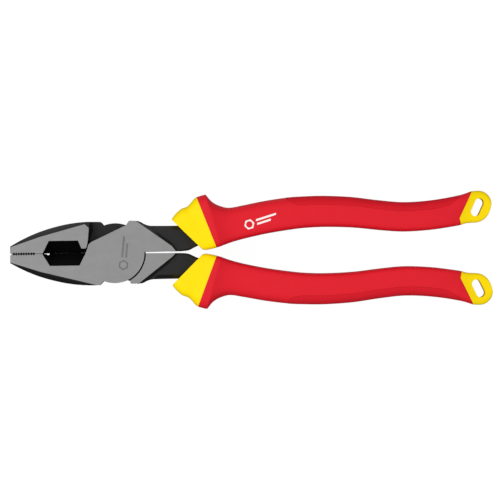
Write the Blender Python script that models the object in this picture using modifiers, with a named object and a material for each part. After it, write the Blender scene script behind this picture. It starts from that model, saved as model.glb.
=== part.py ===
"""Insulated lineman pliers, 248 mm long, closed and lying flat.

Frame: the origin is on the pivot axis, on the ground face of the back half. +Z runs along the pivot axis to
the front half's ground face, -X runs to the tip of the jaws and +X to the tail of the handles. Sizes and
places are in millimetres, and become metres when a mesh is made.

The front half carries the lower jaw (-Y) and the upper handle (+Y). The back half is the same forging turned
half a turn about the long axis, so every shape is made for the front half and used again for the back half.
"""

import math

import bmesh
import bpy
from mathutils import Matrix, Vector

MM = 0.001

# Head
HEAD_THICKNESS = 16.0
MID = HEAD_THICKNESS / 2
LAP_GAP = 0.2  # between the lapped plates of the two halves
JAW_GAP = 0.1  # from the closed jaws' parting plane to each mating face
TIP_X = -53.6
TIP_CHAMFER = 0.6
CROWN_X = -11.5  # where the head is widest
HEAD_HALF_WIDTH = 16.4
HEEL_X = -7.6  # end of the jaw's crowned side
DISC_RADIUS = 15.4
RECESS_RADIUS = 16.1
HEEL_ANGLE = -112.0  # where the disc meets the jaw's heel, in degrees from +X
STOP_ANGLE = 61.0  # where the recess ends on the shoulder
SLOT_HALF_WIDTH = 0.35  # half of the slot between the two shanks
ARC_STEP = 5.0  # degrees a facet
BOTH_FACES = ((HEAD_THICKNESS, 1), (0.0, -1))  # height of each ground face, and the way it looks

# Gripping teeth and side cutters
TEETH = 9
TOOTH_PITCH = 1.28
TOOTH_DEPTH = 0.6
TEETH_START_X = -52.3
RELIEF_X = (-37.2, -33.5)  # see-through relief in front of the knives
KNIFE_LAND = 0.4
KNIFE_END_X = -14.9
POCKET_FACE_Y = {"front": -6.1, "back": -6.7}  # on the face that shows the plate, and on the other
POCKET_WALL_RUN = 0.6  # from the pocket's edge to where its V starts
POCKET_WALL_DEPTH = 2.6
POCKET_MARGIN = 3.0  # how far a cutter reaches past the metal

# Rounded flanks of the jaws, and slope from the ground shoulder down to the shank
FLANK_WIDTH = 3.0
FLANK_DEPTH = 6.5
FLANK_TURNS = (30, 50, 70, 90)  # degrees round the flank's quarter ellipse
SHOULDER_DROP = 2.5
SHOULDER_RUNS = (1.6, 0.9)

CORNER_EDGE = ((-15.05, -15.0), (-13.2, -13.2))  # the tab's cut corner on the face away from the plate

# What differs between the halves: the side's greatest half width and its half width at the tip, how far the
# jaws' parting plane lies above the pivot, the relief's points (x, depth), the flank's edges (y at the tip,
# rise per mm), and the corners of the outline from the lapped plate's straight edge to the shank.
FRONT = {
    "side": (16.4, 4.4),
    "seam": 0.25,
    "relief": ((-37.0, 0.2), (-35.3, 0.35), (-34.7, 0.78), (-34.0, 0.78)),
    "flanks": ((4.05, 0.325), (5.2, 0.25)),
    "plate": ((5.7, 14.1), (6.3, 14.5), (7.35, 16.3), (7.9, 16.55)),
    "shoulder": ((11.9, 16.4), (13.3, 15.85), (15.4, 14.5), (17.6, 13.95)),
    "shoulder_edge": ((11.75, 16.0), (29.55, 3.15), (31.25, 1.0)),
}
BACK = {
    "side": (16.3, 4.1),
    "seam": -0.25,
    "relief": ((-37.0, 0.01), (-34.0, 0.01)),
    "flanks": ((3.7, 0.335), (4.7, 0.27)),
    "plate": ((4.6, 13.6), (7.3, 14.5), (8.2, 15.7), (8.9, 15.85)),
    "shoulder": ((13.9, 15.75), (15.8, 14.75), (17.8, 14.05), (19.3, 13.8)),
    "shoulder_edge": ((12.15, 15.85), (29.75, 2.2), (31.35, 0.6)),
}

# Rivet
RIVET_RADIUS = 4.5
RIVET_HEAD_RADIUS = 6.0
RIVET_HEAD_DEPTH = 1.5
RIVET_CLEARANCE = 0.12
RIVET_STEPS = 32

# Handles
SHELL_WALL = 2.3  # red shell over the yellow liner
MOULD_GAP = 0.2
TANG_GAP = 0.2
INLAY_DEPTH = 1.3
INLAY_PROUD = 0.15
INLAY_REACH = 4.4  # how far the soft inlay wraps over each face
INLAY_SPAN = (9, 16)  # first and last grip station that the inlay covers
RING_POINTS = 24
OUTER_SQUARENESS = 0.95  # the palm side is rounder than the side towards the other handle
INNER_SQUARENESS = 1.5
TAIL_SLOT = ((185.75, 18.6), (187.9, 23.15), 2.35)  # two end centres and radius
KINK = 0.2  # where the tail seam bends, as a share of the handle's width from its inner edge

# Stations of the handle's skin: outer edge x, y, inner edge x, y, thickness, squareness, kink of the seam.
COLLAR = (
    (29.4, 16.9, 43.95, 2.45, 20.0, 5.0, 0.0),
    (31.35, 19.4, 45.2, 1.3, 20.8, 5.0, 0.0),
    (34.4, 22.1, 46.8, 1.05, 21.8, 5.0, 0.0),
    (37.2, 23.15, 48.45, 1.3, 22.4, 5.0, 0.0),
    (39.15, 24.8, 49.85, 1.6, 23.2, 5.0, 0.0),
    (40.85, 26.9, 51.25, 1.9, 24.1, 5.0, 0.0),
    (42.55, 28.15, 52.45, 2.25, 24.8, 5.0, 0.0),
)
GRIP = (
    (42.55, 28.15, 52.45, 2.25, 24.8, 5.0, 0.0),
    (46.4, 29.25, 54.4, 2.8, 25.2, 4.8, 0.0),
    (47.4, 29.0, 55.0, 3.0, 25.0, 4.6, 0.0),
    (48.8, 27.2, 55.8, 3.35, 24.4, 4.3, 0.0),
    (50.9, 25.2, 56.9, 3.75, 23.5, 4.0, 0.0),
    (54.3, 23.45, 59.0, 4.5, 22.0, 3.7, 0.0),
    (59.0, 22.4, 62.0, 5.4, 20.7, 3.5, 0.0),
    (66.0, 23.5, 67.5, 6.8, 20.1, 3.4, 0.0),
    (77.0, 25.6, 78.0, 9.0, 20.1, 3.4, 0.0),
    (88.5, 27.15, 89.0, 10.7, 20.4, 3.4, 0.0),
    (97.0, 27.65, 98.0, 11.7, 20.5, 3.4, 0.0),
    (108.0, 27.8, 109.0, 12.05, 20.5, 3.4, 0.0),
    (122.0, 27.0, 123.0, 11.5, 20.0, 3.4, 0.0),
    (136.0, 25.15, 137.0, 9.95, 19.3, 3.4, 0.0),
    (149.0, 23.95, 149.0, 9.05, 18.7, 3.4, 0.0),
    (163.0, 24.7, 162.0, 9.65, 18.0, 3.4, 0.0),
    (176.8, 26.9, 173.0, 11.05, 16.4, 3.4, -1.0),
    (184.05, 29.1, 178.25, 11.95, 14.6, 3.6, -2.0),
)
TAIL = (
    (184.05, 29.1, 178.25, 11.95, 14.6, 3.6, -2.0),
    (186.2, 29.3, 181.2, 12.8, 12.6, 3.9, -1.2),
    (188.5, 29.25, 184.0, 13.05, 11.0, 4.2, -0.5),
    (190.4, 28.7, 186.6, 13.2, 10.0, 4.4, 0.0),
    (192.1, 27.6, 188.8, 13.8, 9.4, 4.4, 0.0),
    (193.4, 26.0, 190.8, 15.1, 9.0, 4.4, 0.0),
    (194.1, 24.2, 192.4, 17.0, 8.7, 4.4, 0.0),
    (194.3, 22.7, 193.6, 19.6, 8.2, 4.4, 0.0),
)
# Stations of the shank and tang: outer edge x, y, inner edge x, y, thickness, outer chamfer, inner chamfer.
TANG = (
    (11.5, 16.1, 17.5, 0.45, 11.4, 1.0, 0.6),
    (14.8, 14.9, 19.5, 0.5, 11.4, 1.6, 0.8),
    (17.6, 13.95, 21.5, 0.5, 11.4, 2.2, 0.8),
    (20.5, 13.75, 24.0, 0.5, 11.4, 2.3, 0.8),
    (31.0, 13.65, 36.2, 0.6, 11.2, 2.3, 0.8),
    (36.0, 13.8, 41.4, 2.6, 10.6, 2.0, 0.9),
    (47.0, 15.5, 50.0, 6.3, 9.6, 1.8, 1.2),
    (58.0, 18.1, 59.5, 9.1, 9.0, 1.8, 1.5),
    (80.0, 22.2, 80.5, 13.2, 8.8, 1.8, 1.8),
    (107.0, 24.2, 107.0, 15.6, 8.6, 1.8, 1.8),
    (135.0, 21.8, 135.0, 13.6, 8.2, 1.8, 1.8),
    (150.0, 20.4, 150.0, 12.7, 7.8, 1.8, 1.8),
    (162.0, 20.6, 162.0, 13.6, 7.2, 1.8, 1.8),
    (168.0, 20.6, 168.0, 15.2, 6.2, 1.6, 1.6),
)


# ---------------------------------------------------------------- scene and materials


def clear_scene():
    for obj in list(bpy.data.objects):
        bpy.data.objects.remove(obj)


def new_collection(name):
    collection = bpy.data.collections.new(name)
    bpy.context.scene.collection.children.link(collection)
    return collection


def new_material(name, colour, roughness, metallic=0.0):
    material = bpy.data.materials.new(name)
    material.use_nodes = True
    shader = material.node_tree.nodes["Principled BSDF"]
    shader.inputs["Base Color"].default_value = (*colour, 1.0)
    shader.inputs["Roughness"].default_value = roughness
    shader.inputs["Metallic"].default_value = metallic
    return material


# ---------------------------------------------------------------- mesh tools


def link_mesh(name, mesh):
    obj = bpy.data.objects.new(name, mesh)
    bpy.context.scene.collection.objects.link(obj)
    return obj


def evaluated_mesh(obj):
    bpy.context.view_layer.update()
    graph = bpy.context.evaluated_depsgraph_get()
    return bpy.data.meshes.new_from_object(obj.evaluated_get(graph))


def close_mesh(mesh):
    """Welds the mesh's loose caps and points its faces outwards."""
    shape = bmesh.new()
    shape.from_mesh(mesh)
    bmesh.ops.remove_doubles(shape, verts=shape.verts, dist=1e-7)
    bmesh.ops.recalc_face_normals(shape, faces=shape.faces)
    shape.to_mesh(mesh)
    shape.free()


def plate(name, outline, low, high, frame=None):
    """A flat outline with a thickness from low to high along its own Z, placed by frame (in millimetres)."""
    curve = bpy.data.curves.new(name, "CURVE")
    curve.dimensions = "2D"
    curve.fill_mode = "BOTH"
    curve.extrude = (high - low) / 2 * MM
    spline = curve.splines.new("POLY")
    spline.points.add(len(outline) - 1)
    for point, (x, y) in zip(spline.points, outline):
        point.co = (x * MM, y * MM, 0.0, 1.0)
    spline.use_cyclic_u = True
    drawn = link_mesh(name, curve)
    mesh = evaluated_mesh(drawn)
    bpy.data.objects.remove(drawn)
    close_mesh(mesh)
    placed = frame or Matrix.Identity(4)
    scaled = Matrix.LocRotScale(placed.translation * MM, placed.to_quaternion(), None)
    mesh.transform(scaled @ Matrix.Translation((0, 0, (low + high) / 2 * MM)))
    return link_mesh(name, mesh)


def loft(name, rings, closed=False):
    """A skin over rings of equally many points: capped at both ends, or closed on itself like a tube."""
    shape = bmesh.new()
    loops = [[shape.verts.new(Vector(point) * MM) for point in ring] for ring in rings]
    pairs = list(zip(loops, loops[1:]))
    if closed:
        pairs.append((loops[-1], loops[0]))
    for first, second in pairs:
        for i in range(len(first)):
            j = (i + 1) % len(first)
            shape.faces.new((first[i], first[j], second[j], second[i]))
    if not closed:
        shape.faces.new(loops[0])
        shape.faces.new(loops[-1])
    bmesh.ops.recalc_face_normals(shape, faces=shape.faces)
    mesh = bpy.data.meshes.new(name)
    shape.to_mesh(mesh)
    shape.free()
    return link_mesh(name, mesh)


def combine(obj, others, operation):
    """Cuts obj by, or joins it with, each of the others, which are then removed."""
    for other in others:
        modifier = obj.modifiers.new(other.name, "BOOLEAN")
        modifier.operation = operation
        modifier.object = other
    obj.data = evaluated_mesh(obj)
    obj.modifiers.clear()
    for other in others:
        bpy.data.objects.remove(other)
    return obj


def shade(obj, angle):
    obj.data.shade_smooth()
    obj.data.set_sharp_from_angle(angle=math.radians(angle))


# ---------------------------------------------------------------- curves


def arc(centre, radius, start, end):
    """Points of an arc from start to end, in degrees."""
    steps = max(1, round(abs(end - start) / ARC_STEP))
    angles = [math.radians(start + (end - start) * i / steps) for i in range(steps + 1)]
    return [(centre[0] + radius * math.cos(a), centre[1] + radius * math.sin(a)) for a in angles]


def along(table, place):
    """The row of a table of stations at a fractional place, on a smooth curve through all of its rows."""
    index = min(int(place), len(table) - 2)
    t = place - index
    before, start, end, after = (
        table[min(max(index + k, 0), len(table) - 1)] for k in (-1, 0, 1, 2)
    )
    return [
        0.5 * (2 * b + (c - a) * t + (2 * a - 5 * b + 4 * c - d) * t**2 + (3 * b - a - 3 * c + d) * t**3)
        for a, b, c, d in zip(before, start, end, after)
    ]


def places(first, last, steps):
    """Fractional places from station first to station last, with a number of steps to each station."""
    count = (last - first) * steps
    return [first + i / steps for i in range(count + 1)]


# ---------------------------------------------------------------- forged halves


def jaw_side(half_width, tip_half_width):
    """The crowned side of the lower jaw, from its heel to the tip."""
    run, drop = CROWN_X - TIP_X, half_width - tip_half_width
    radius = (run**2 + drop**2) / (2 * drop)
    centre = (CROWN_X, radius - half_width)
    heel = -90 + math.degrees(math.asin((HEEL_X - CROWN_X) / radius))
    tip = -90 - math.degrees(math.asin(run / radius))
    steps = 14
    angles = [math.radians(heel + (tip - heel) * i / steps) for i in range(steps + 1)]
    return [(centre[0] + radius * math.cos(a), centre[1] + radius * math.sin(a)) for a in angles]


def mating_face(shape):
    """The lower jaw's mating edge from the tip to the end of the knife: teeth, flat, relief and knife."""
    seam = shape["seam"] - JAW_GAP
    points = [(TIP_X, -TIP_CHAMFER), (TEETH_START_X - 0.3, seam)]
    for tooth in range(TEETH):
        x = TEETH_START_X + tooth * TOOTH_PITCH
        points += [(x, seam), (x + TOOTH_PITCH / 2, seam - TOOTH_DEPTH)]
    points.append((TEETH_START_X + TEETH * TOOTH_PITCH, seam))
    start, end = RELIEF_X
    points += [(start, seam), *((x, seam - depth) for x, depth in shape["relief"]), (end, seam)]
    points.append((KNIFE_END_X, seam))
    return points


def head_outline(shape):
    """The front half's head from the front: from the tip along the mating edge and back round the disc."""
    plate_edge = [(-14.4, 1.3), (-13.75, 3.2), (-13.3, 4.6), (-12.5, 5.4), (-11.5, 6.05), *shape["plate"]]
    shoulder = [*shape["shoulder"], (32.3, 3.4), (33.3, SLOT_HALF_WIDTH + 0.2)]
    disc_start = math.degrees(math.asin(SLOT_HALF_WIDTH / DISC_RADIUS))
    disc = arc((0, 0), DISC_RADIUS, disc_start, HEEL_ANGLE)
    heel = [(-6.7, -15.4), (-7.25, -15.95)]
    return mating_face(shape) + plate_edge + shoulder + disc + heel + jaw_side(*shape["side"])


def lap_cutter():
    """What the front half leaves free behind its plate, for the back half's plate to swing in."""
    edge = HEAD_HALF_WIDTH + POCKET_MARGIN
    tab = [(-17.05, edge), (-17.05, -2.6), (-14.9, -2.5), (-14.2, -3.5), (-13.75, -5.6)]
    recess = arc((0, 0), RECESS_RADIUS, 1.0, STOP_ANGLE)
    right = [(edge, -edge), (edge, 0.25), (RECESS_RADIUS, 0.25)] + recess + [(8.3, edge)]
    wall_at_face = [(-13.6, -7.0), (-13.1, -13.0), (-13.05, -edge)]
    wall_at_foot = [(-13.3, -7.0), (-12.4, -13.0), (-12.35, -edge)]
    wall_at_floor = [(-13.1, -7.0), (-11.2, -13.0), (-11.1, -edge)]
    outlines = ((wall_at_face, -1.0), (wall_at_foot, 6.5), (wall_at_floor, MID + LAP_GAP / 2))
    rings = [[(x, y, z) for x, y in tab + wall + right] for wall, z in outlines]
    return loft("lap", rings)


def pocket_cutters(seam):
    """The two cutter pockets: a V down to the knife, kept to a plan outline that differs on each face."""
    front_end = [(-18.8, -7.5), (KNIFE_END_X, -JAW_GAP), (KNIFE_END_X, POCKET_MARGIN)]
    back_end = [(-19.15, -7.5), (-17.0, -2.4), (-17.0, POCKET_MARGIN)]
    cutters = []
    for name, end, nose_x, side in (("front", front_end, -32.4, 1), ("back", back_end, -33.25, -1)):
        nose = [(-37.1, POCKET_MARGIN), (-37.0, 0.0), (nose_x, -7.5)]
        plan = plate(name + "_pocket", nose + end, *sorted((MID, MID + side * (MID + POCKET_MARGIN))))
        face_y, wall_y = POCKET_FACE_Y[name], POCKET_FACE_Y[name] + POCKET_WALL_RUN
        knife = MID + side * KNIFE_LAND / 2
        wall = MID + side * (MID - POCKET_WALL_DEPTH)
        above = MID + side * (MID + 2 * POCKET_MARGIN)
        slope = [(seam - JAW_GAP, knife), (wall_y, wall), (face_y, MID + side * MID), (face_y, above)]
        vee = [(POCKET_MARGIN + 1, knife), *slope, (POCKET_MARGIN + 1, above)]
        across = Matrix(((0, 0, 1, 0), (1, 0, 0, 0), (0, 1, 0, 0), (0, 0, 0, 1)))
        profile = plate(name + "_profile", vee, -40.0, -12.0, across)
        cutters.append(combine(plan, [profile], "INTERSECT"))
    return cutters


def slope_cutters(name, start, end, outward, profile, faces=BOTH_FACES):
    """Prisms along a line that cut a slope on the faces. The profile is (outward, below the face)."""
    middle = (Vector(start) + Vector(end)) / 2
    line = (Vector(end) - Vector(start)).normalized()
    across = Vector((line.y, -line.x)) * (1 if Vector((line.y, -line.x)).dot(Vector(outward)) > 0 else -1)
    half_length = (Vector(end) - Vector(start)).length / 2
    cutters = []
    for face, side in faces:
        x_axis, y_axis = Vector((*across, 0)), Vector((0, 0, side))
        frame = Matrix((x_axis, y_axis, x_axis.cross(y_axis))).transposed().to_4x4()
        frame.translation = (*middle, face)
        outline = [(out, -below) for out, below in profile]
        cutters.append(plate(f"{name}_{len(cutters)}", outline, -half_length, half_length, frame))
    return cutters


def flank_profile():
    """A quarter ellipse from the ground face down to the jaw's side, closed well outside the metal."""
    turns = [math.radians(turn) for turn in FLANK_TURNS]
    curve = [(FLANK_WIDTH * math.sin(a), FLANK_DEPTH * (1 - math.cos(a))) for a in turns]
    above = (-curve[0][0], -curve[0][1])
    beyond = [(3 * FLANK_WIDTH, FLANK_DEPTH), (3 * FLANK_WIDTH, -3.0), (-curve[0][0], -3.0)]
    return [above] + curve + beyond


def flank_cutters(edges):
    """Round the jaw's side over from its edges on each face, and the tab's corner away from the plate."""
    cutters = []
    for tip_y, rise in edges:
        start, end = ((x, -tip_y - rise * (x - TIP_X)) for x in (TIP_X - 3, -6.0))
        cutters += slope_cutters("flank", start, end, (0, -1), flank_profile())
    return cutters + slope_cutters("corner", *CORNER_EDGE, (1, -1), flank_profile(), BOTH_FACES[1:])


def shoulder_cutters(edge):
    cutters = []
    for start, end, run in zip(edge, edge[1:], SHOULDER_RUNS):
        fall = SHOULDER_DROP / run
        profile = [(-0.3, -0.3 * fall), (run, SHOULDER_DROP), (8, SHOULDER_DROP), (8, -1)]
        past = (Vector(end) - Vector(start)).normalized() * 3
        cutters += slope_cutters("shoulder", Vector(start) - past, Vector(end) + past, (1, 1), profile)
    return cutters


def rivet_profile(grow, overrun):
    """The rivet's half section from the axis at the top to the axis at the bottom."""
    head, body = RIVET_HEAD_RADIUS + grow, RIVET_RADIUS + grow
    top, bottom = HEAD_THICKNESS + overrun, -overrun
    depth = RIVET_HEAD_DEPTH
    half = [(0.0, top), (head, top), (head, HEAD_THICKNESS - 0.4), (body, HEAD_THICKNESS - 0.4 - depth)]
    half += [(body, 0.4 + depth), (head, 0.4), (head, bottom), (0.0, bottom)]
    return half


def turned(name, profile, steps):
    """A profile in (radius, height) turned about the pivot axis."""
    mesh = bpy.data.meshes.new(name)
    points = [(r * MM, 0.0, z * MM) for r, z in profile]
    mesh.from_pydata(points, [(i, i + 1) for i in range(len(points) - 1)], [])
    obj = link_mesh(name, mesh)
    screw = obj.modifiers.new("turn", "SCREW")
    screw.steps = screw.render_steps = steps
    screw.use_merge_vertices = True
    screw.merge_threshold = 1e-6
    obj.data = evaluated_mesh(obj)
    obj.modifiers.clear()
    close_mesh(obj.data)
    return obj


def tang_ring(row, grow):
    """An eight-sided section of the tang between its two edges, with all sides moved out by grow."""
    outer, inner = Vector(row[0:2]), Vector(row[2:4])
    across = (outer - inner).normalized()
    half = (outer - inner).length / 2 + grow
    thick = row[4] / 2 + grow
    centre = (outer + inner) / 2
    big, small = row[5], row[6]
    corners = [
        (half, thick - big), (half - big, thick), (small - half, thick), (-half, thick - small),
        (-half, small - thick), (small - half, -thick), (half - big, -thick), (half, big - thick),
    ]
    return [(*(centre + across * a), MID + z) for a, z in corners]


def tang(name, grow=0.0):
    """The shank and tang, as a solid that joins the head or, grown, as the cavity it fills."""
    rings = [tang_ring(along(TANG, place), grow) for place in places(0, len(TANG) - 1, 2)]
    if grow:
        end = Vector((2 * grow, 0, 0))
        rings[-1] = [Vector(point) + end for point in rings[-1]]
    return loft(name, rings)


def forged_half(name, shape):
    """One half of the pliers: jaw, knife, lapped plate with its rivet hole, shoulder, shank and tang."""
    head = plate(name, head_outline(shape), 0.0, HEAD_THICKNESS)
    combine(head, [lap_cutter()], "DIFFERENCE")
    slopes = flank_cutters(shape["flanks"]) + shoulder_cutters(shape["shoulder_edge"])
    combine(head, pocket_cutters(shape["seam"]) + slopes, "DIFFERENCE")
    combine(head, [tang("shank")], "UNION")
    hole = turned("rivet_hole", rivet_profile(RIVET_CLEARANCE, 1.0), RIVET_STEPS)
    combine(head, [hole], "DIFFERENCE")
    shade(head, 25)
    return head


# ---------------------------------------------------------------- handle covers


def skin_point(row, angle, inset):
    """A point of the handle's skin: angle 0 is the outer edge, 90 degrees the front face."""
    outer, inner = Vector(row[0:2]), Vector(row[2:4])
    across = (outer - inner).normalized()
    half = (outer - inner).length / 2 - inset
    power = 2 / (row[5] * (OUTER_SQUARENESS if math.cos(angle) > 0 else INNER_SQUARENESS))
    share = math.copysign(abs(math.cos(angle)) ** power, math.cos(angle))
    height = math.copysign(abs(math.sin(angle)) ** power, math.sin(angle))
    point = (outer + inner) / 2 + across * (half * share)
    width = (share + 1) / 2
    kink = row[6] * (width / KINK if width < KINK else (1 - width) / (1 - KINK))
    return Vector((point.x + kink, point.y, MID + height * (row[4] / 2 - inset)))


def skin_ring(row, inset=0.0, shift=0.0):
    angles = [2 * math.pi * i / RING_POINTS for i in range(RING_POINTS)]
    return [skin_point(row, angle, inset) + Vector((shift, 0, 0)) for angle in angles]


def grip_rings(inset, shift_ends=0.0):
    stations = places(0, len(GRIP) - 1, 1)
    rings = [skin_ring(along(GRIP, place), inset) for place in stations]
    rings[0] = skin_ring(GRIP[0], inset, shift_ends)
    rings[-1] = skin_ring(GRIP[-1], inset, -shift_ends)
    return rings


def tail_hole():
    """The stadium-shaped lanyard hole through the tail."""
    low, high, radius = TAIL_SLOT
    lean = math.degrees(math.atan2(high[1] - low[1], high[0] - low[0]))
    outline = arc(high, radius, lean - 90, lean + 90) + arc(low, radius, lean + 90, lean + 270)
    return plate("lanyard_hole", outline[::2], -5.0, HEAD_THICKNESS + 5.0)


def liner():
    """Yellow insulation: guard collar, sleeve under the shell and tail with its slot, all one moulding."""
    collar = [skin_ring(row) for row in COLLAR]
    tail = [skin_ring(row) for row in TAIL]
    body = loft("liner", collar + grip_rings(SHELL_WALL + MOULD_GAP) + tail)
    combine(body, [tang("tang_cavity", TANG_GAP), tail_hole()], "DIFFERENCE")
    shade(body, 40)
    return body


def inlay_solid(name, reach, depth, proud, overrun):
    """The band of the soft inlay round the handle's outer edge, or the recess it sits in."""
    first, last = INLAY_SPAN
    stations = places(first, last, 1)
    stations[0] -= overrun
    stations[-1] += overrun
    rings = []
    for place in stations:
        row = along(GRIP, place)
        half = (Vector(row[0:2]) - Vector(row[2:4])).length / 2
        limit = math.acos((1 - reach / half) ** (row[5] * OUTER_SQUARENESS / 2))
        sweep = [limit * (2 * i / 10 - 1) for i in range(11)]
        outside = [skin_point(row, angle, -proud) for angle in sweep]
        inside = [skin_point(row, angle, depth) for angle in reversed(sweep)]
        rings.append(outside + inside)
    return loft(name, rings)


def shell():
    """Red shell moulded over the liner, with a recess along its palm side for the soft inlay."""
    outside = grip_rings(0.0, MOULD_GAP)
    inside = grip_rings(SHELL_WALL, MOULD_GAP)
    body = loft("shell", outside + inside[::-1], closed=True)
    recess = inlay_solid("inlay_recess", INLAY_REACH + MOULD_GAP, INLAY_DEPTH + MOULD_GAP, 3.0, 0.03)
    combine(body, [recess], "DIFFERENCE")
    shade(body, 40)
    return body


def inlay():
    body = inlay_solid("inlay", INLAY_REACH, INLAY_DEPTH, INLAY_PROUD, 0.0)
    shade(body, 40)
    return body


# ---------------------------------------------------------------- assembly


def place_piece(obj, name, collection, material, parent, turned_over=False):
    """Names a piece and hangs it on its half. The back half's pieces are turned about the long axis."""
    obj.name = name
    obj.data.name = name
    obj.data.materials.clear()
    obj.data.materials.append(material)
    bpy.context.scene.collection.objects.unlink(obj)
    collection.objects.link(obj)
    obj.parent = parent
    if turned_over:
        obj.rotation_euler = (math.pi, 0, 0)
        obj.location = (0, 0, HEAD_THICKNESS * MM)
    return obj


def pivot_empty(name, collection):
    """An empty on the pivot axis that carries one half's pieces."""
    empty = bpy.data.objects.new(name, None)
    collection.objects.link(empty)
    return empty


def main():
    clear_scene()
    pliers = new_collection("lineman_pliers")
    steel = new_material("forged_steel", (0.29, 0.29, 0.30), 0.42, 1.0)
    rivet_steel = new_material("rivet_steel", (0.29, 0.29, 0.30), 0.4, 1.0)
    yellow = new_material("yellow_insulation", (0.98, 0.74, 0.0), 0.45)
    red = new_material("red_shell", (0.73, 0.03, 0.04), 0.45)
    soft_red = new_material("soft_inlay", (0.55, 0.02, 0.03), 0.65)

    front = pivot_empty("front_half_pivot", pliers)
    back = pivot_empty("back_half_pivot", pliers)

    place_piece(forged_half("front_forging", FRONT), "front_jaw_half", pliers, steel, front)
    place_piece(forged_half("back_forging", BACK), "back_jaw_half", pliers, steel, back, turned_over=True)
    rivet = turned("rivet", rivet_profile(0.0, 0.0), RIVET_STEPS)
    shade(rivet, 25)
    place_piece(rivet, "pivot_rivet", pliers, rivet_steel, front)

    covers = ((liner, "grip_liner", yellow), (shell, "grip_shell", red), (inlay, "palm_inlay", soft_red))
    for cover, name, material in covers:
        piece = cover()
        copy = link_mesh(name, piece.data)
        place_piece(piece, "front_" + name, pliers, material, front)
        place_piece(copy, "back_" + name, pliers, material, back, turned_over=True)


main()
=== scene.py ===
"""Looks of the insulated lineman pliers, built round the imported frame.

Sizes and places are in millimetres in the frame's axes: the origin is on the pivot axis at the back ground
face, +Z towards the front ground face, -X towards the jaws' tip. Every shape is made for the front half
(lower jaw, upper handle), and the back half uses it again, turned half a turn about the long axis.
"""

import math

import bmesh
import bpy
from mathutils import Matrix, Vector
from mathutils.bvhtree import BVHTree


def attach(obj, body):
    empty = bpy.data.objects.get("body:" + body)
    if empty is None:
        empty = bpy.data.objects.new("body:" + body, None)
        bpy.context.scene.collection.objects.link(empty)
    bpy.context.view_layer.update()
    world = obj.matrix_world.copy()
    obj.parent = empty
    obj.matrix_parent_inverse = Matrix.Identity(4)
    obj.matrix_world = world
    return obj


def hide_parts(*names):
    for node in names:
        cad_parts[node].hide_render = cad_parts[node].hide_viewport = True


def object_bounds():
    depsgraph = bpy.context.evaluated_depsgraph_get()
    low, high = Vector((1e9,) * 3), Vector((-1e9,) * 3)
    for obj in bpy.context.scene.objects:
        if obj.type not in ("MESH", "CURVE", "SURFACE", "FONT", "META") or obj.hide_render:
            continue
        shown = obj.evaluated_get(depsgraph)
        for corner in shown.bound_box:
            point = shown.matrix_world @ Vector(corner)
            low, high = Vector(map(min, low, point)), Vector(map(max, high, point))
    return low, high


MM = 0.001

# Head
HEAD_THICKNESS = 16.0
MID = HEAD_THICKNESS / 2
LAP_GAP = 0.06
JAW_GAP = 0.002
TIP_X = -53.6
TIP_CHAMFER = 0.6
CROWN_X = -11.5
HEAD_HALF_WIDTH = 16.4
HEEL_X = -7.6
DISC_RADIUS = 15.4
RECESS_RADIUS = 16.1
HEEL_ANGLE = -112.0
STOP_ANGLE = 61.0
SLOT_HALF_WIDTH = 0.33
EDGE_BEVEL = 0.14
EDGE_ANGLE = 20.0  # edges of the ground faces that turn more than this are broken
SMOOTH_ANGLE = 34.0
BEYOND = 3.0  # how far a cutter reaches past the metal
BOTH_FACES = ((HEAD_THICKNESS, 1), (0.0, -1))
JAW_ARC_STEP = 0.6
HEEL_STEP = ((-6.7, -15.4), (-7.25, -15.95))
PLATE_FOOT = ((-14.4, 1.3), (-13.75, 3.2), (-13.3, 4.6), (-12.5, 5.4), (-11.5, 6.05))
SHANK_ROOT = ((32.3, 3.4), (33.3, SLOT_HALF_WIDTH + 0.2))
HEEL_ROUND = 0.5
PLATE_ROUND = 0.6

# What is cut free behind the plate: the end of the jaw's tab, and the leaning wall at the jaw's foot
TAB = ((-17.05, -2.6), (-14.9, -2.5), (-14.2, -3.5), (-13.75, -5.6))
TAB_ROUND = 0.35
RECESS_START = 1.0  # degrees
RECESS_FOOT_Y = 0.25
RECESS_TOP_X = 8.3
WALL_YS = (-7.0, -12.0, -13.0, -HEAD_HALF_WIDTH - BEYOND)
WALL_XS = {  # by height, at each of those places
    -1.0: (-13.6, -13.15, -13.1, -13.05),
    5.8: (-13.4, -12.7, -12.6, -12.55),
    7.2: (-13.3, -12.3, -12.15, -12.1),
    MID + LAP_GAP / 2: (-13.1, -11.4, -11.2, -11.1),
}

# Teeth, relief, knives and pocket
TEETH = 9
TOOTH_PITCH = 1.28
TOOTH_DEPTH = 0.65
TEETH_START_X = -52.3
TEETH_LEAD = 0.3  # from the tip's chamfer to the first groove
TEETH_LEVELS = (  # height, and the share of the full depth there: the grooves close in the middle
    (0.0, 1.0),
    (6.5, 1.0),
    (7.5, 0.0),
    (8.5, 0.0),
    (9.5, 1.0),
    (HEAD_THICKNESS, 1.0),
)
RELIEF_X = (-37.2, -33.7)
RELIEF_ROUND = 0.3
KNIFE_LAND = 0.15
KNIFE_END_X = -14.9
POCKET_WALL_RUN = 0.6  # from the pocket's edge to where its V starts
POCKET_WALL_DEPTH = 2.6
POCKET_ROUND = 0.9
POCKET_REACH = (-40.0, -12.0)
POCKET_NOSE = ((-37.1, BEYOND), (-37.0, 0.0))
POCKET_LOW_Y = -7.5
POCKETS = {  # side of the middle, y of the edge on the face, x of the nose, and the end at the joint
    "front": (1, -6.1, -32.4, ((-18.8, POCKET_LOW_Y), (KNIFE_END_X, -JAW_GAP), (KNIFE_END_X, BEYOND))),
    "back": (-1, -6.7, -33.25, ((-19.15, POCKET_LOW_Y), (-17.0, -2.4), (-17.0, BEYOND))),
}
PAINTED_SHADE_X = (-37.1, -13.2)  # the pocket's painted shade, its oxide drawn near black, lies between these
PAINTED_SHADE_Y = (-6.6, 5.0)
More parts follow.
